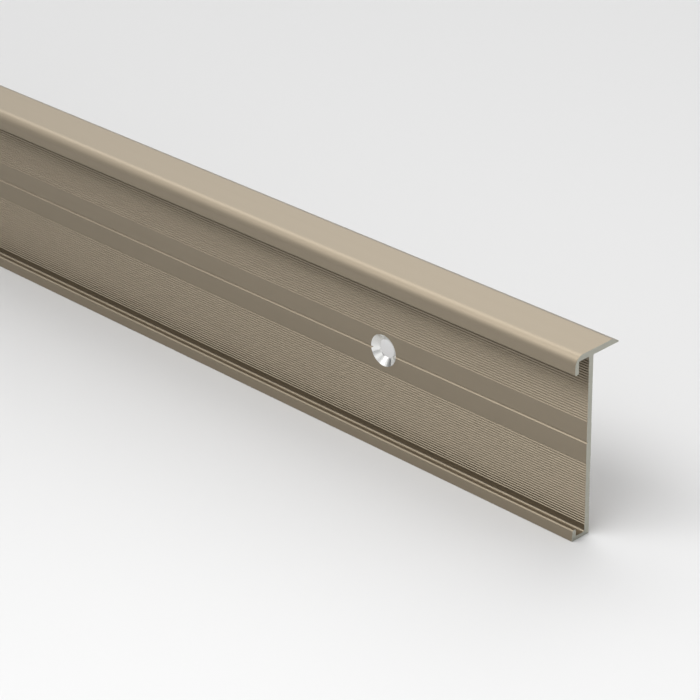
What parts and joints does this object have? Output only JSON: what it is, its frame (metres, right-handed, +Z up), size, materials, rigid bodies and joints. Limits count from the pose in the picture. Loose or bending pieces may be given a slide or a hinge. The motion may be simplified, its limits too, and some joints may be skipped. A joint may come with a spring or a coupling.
{
  "type": "stair nosing",
  "caption": "Extruded aluminium stair nosing: rounded nose with a hook channel, ribbed upright web with countersunk screw holes, J-shaped foot and a thin tread flange.",
  "frame": {"origin": "centre of the bounding box in plan, on the underside of the foot", "axes": "+X along the bar, +Y into the step, away from the ribbed front, +Z up to the tread surface"},
  "size_m": [0.9, 0.0138, 0.045],
  "materials": {
    "anodised_aluminium": "satin"
  },
  "bodies": {
    "root": {"nosing_profile": "anodised_aluminium"}
  },
  "joints": []
}
